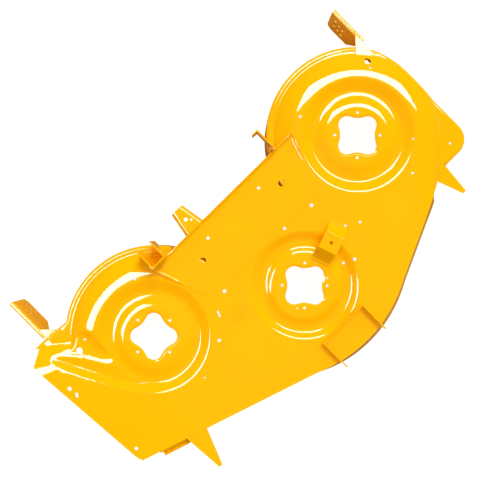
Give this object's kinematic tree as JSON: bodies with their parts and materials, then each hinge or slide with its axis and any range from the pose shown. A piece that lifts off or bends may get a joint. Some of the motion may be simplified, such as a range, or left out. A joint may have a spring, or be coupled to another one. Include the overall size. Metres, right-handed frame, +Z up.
{
  "type": "lawn mower deck",
  "caption": "Welded steel cutting deck for a side-discharge ride-on mower, with stamped spindle seats, a flared front skirt and welded hanger and wheel brackets.",
  "frame": {"origin": "centre spindle axis, on the top face of its stamped seat", "axes": "+X to the discharge side, +Y forward to the nose, +Z up"},
  "size_m": [1.383, 0.8453, 0.183],
  "materials": {
    "yellow_paint": "glossy powder coat"
  },
  "bodies": {
    "root": {"deck_shell": "yellow_paint", "front_skirt": "yellow_paint", "front_baffle": "yellow_paint", "rear_bridge_plate": "yellow_paint", "front_lift_bracket": "yellow_paint", "idler_bridge_bracket": "yellow_paint", "idler_tab": "yellow_paint", "rear_channel_bracket": "yellow_paint", "rear_hook_bracket": "yellow_paint", "rear_taper_bracket": "yellow_paint", "gauge_wheel_bracket_right": "yellow_paint", "gauge_wheel_bracket_left": "yellow_paint", "front_arm_right": "yellow_paint", "front_arm_left": "yellow_paint", "front_corner_bracket": "yellow_paint"}
  },
  "joints": []
}
